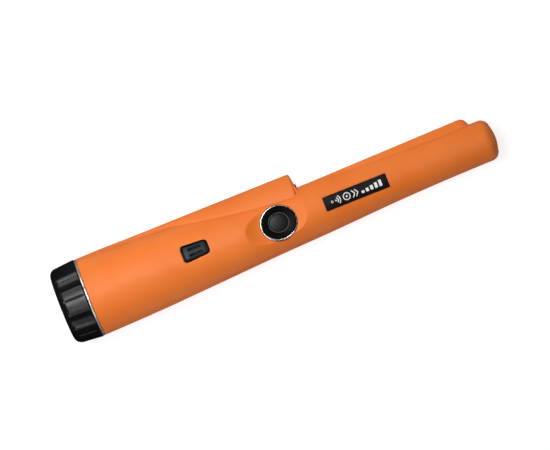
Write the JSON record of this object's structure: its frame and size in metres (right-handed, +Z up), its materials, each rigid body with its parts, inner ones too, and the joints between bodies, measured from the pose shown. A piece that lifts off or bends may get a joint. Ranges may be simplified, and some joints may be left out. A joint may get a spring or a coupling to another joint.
{
  "type": "pinpointer probe",
  "caption": "Hand-held metal pinpointer: tapered round housing with a stepped side fin, ridged tip, push button, sound slots and a lobed screw cap over the battery bay.",
  "frame": {"origin": "on the surface that the probe lies on, under the middle of its box", "axes": "+X along the probe to its tip (the probe's own axis dips 2.7 degrees towards the tip), +Y to the fin, +Z up, to the button"},
  "size_m": [0.2356, 0.0416, 0.0415],
  "materials": {
    "housing_plastic": "satin moulded plastic with a fine even texture",
    "gloss_plastic": "glossy moulded",
    "satin_plastic": "satin",
    "bright_trim": "polished",
    "seal_rubber": "matte",
    "foam": "matte closed-cell foam",
    "battery_can": "printed metal can",
    "board_laminate": "solder mask",
    "chip_resin": "matte",
    "nickel": "satin",
    "steel": "satin",
    "copper_wire": "enamelled winding",
    "ferrite": "fired",
    "nylon": "natural",
    "clear_lens": "clear",
    "label_film": "printed film",
    "red_sheath": "wire sheath",
    "black_sheath": "wire sheath"
  },
  "bodies": {
    "housing": {"front_shell": "housing_plastic", "rear_shell": "housing_plastic", "label_plate": "label_film", "button_bezel": "gloss_plastic", "button_trim_ring": "bright_trim", "button_seal": "seal_rubber", "speaker_grille": "gloss_plastic", "sound_membrane": "foam", "piezo_buzzer": "satin_plastic", "led_lamp": "clear_lens", "led_board": "board_laminate", "battery": "battery_can", "contact_plus": "nickel", "contact_minus": "nickel", "terminal_block": "satin_plastic", "main_board": "board_laminate", "tact_switch": "chip_resin", "microcontroller": "chip_resin", "amplifier_chip": "chip_resin", "filter_capacitor": "satin_plastic", "crystal": "steel", "connector": "nylon", "board_screw_1": "steel", "board_screw_2": "steel", "board_screw_3": "steel", "board_screw_4": "steel", "vibration_motor": "steel", "ferrite_core": "ferrite", "coil_bobbin": "nylon", "receive_coil_rear": "copper_wire", "transmit_coil": "copper_wire", "receive_coil_front": "copper_wire", "tip_cushion": "foam", "battery_lead_plus": "red_sheath", "battery_lead_minus": "black_sheath", "buzzer_lead": "black_sheath", "motor_lead": "red_sheath", "led_lead": "red_sheath", "coil_lead": "black_sheath"},
    "seal_ring": {"cap_trim_ring": "bright_trim", "cap_o_ring": "seal_rubber"},
    "screw_cap": {"battery_cap": "gloss_plastic", "cap_pad": "foam"},
    "button": {"power_button": "satin_plastic", "switch_plunger": "satin_plastic"},
    "rotor": {"motor_shaft": "steel", "motor_weight": "nickel"}
  },
  "joints": [
    {"name": "cap_slide", "type": "slide", "parent": "housing", "child": "seal_ring", "axis": [-0.9988, 0, 0.048], "range_m": [0, 0.006]},
    {"name": "cap_turn", "type": "hinge", "parent": "seal_ring", "child": "screw_cap", "pos_m": [-0.10996, -0.00035, 0.02138], "axis": [-0.9988, 0, 0.048], "range_deg": [0, 720]},
    {"name": "button_press", "type": "slide", "parent": "housing", "child": "button", "axis": [-0.095, 0, -0.9955], "range_m": [0, 0.0008], "stiffness_N_per_m": 2500, "springref_m": -0.0002},
    {"name": "rotor_spin", "type": "hinge", "parent": "housing", "child": "rotor", "pos_m": [-0.01695, -0.00035, 0.0089], "axis": [0.9988, 0, -0.048], "continuous": true}
  ],
  "couplings": [
    {"joint": "cap_slide", "follows": "cap_turn", "m_per_rad": 0.000477}
  ]
}
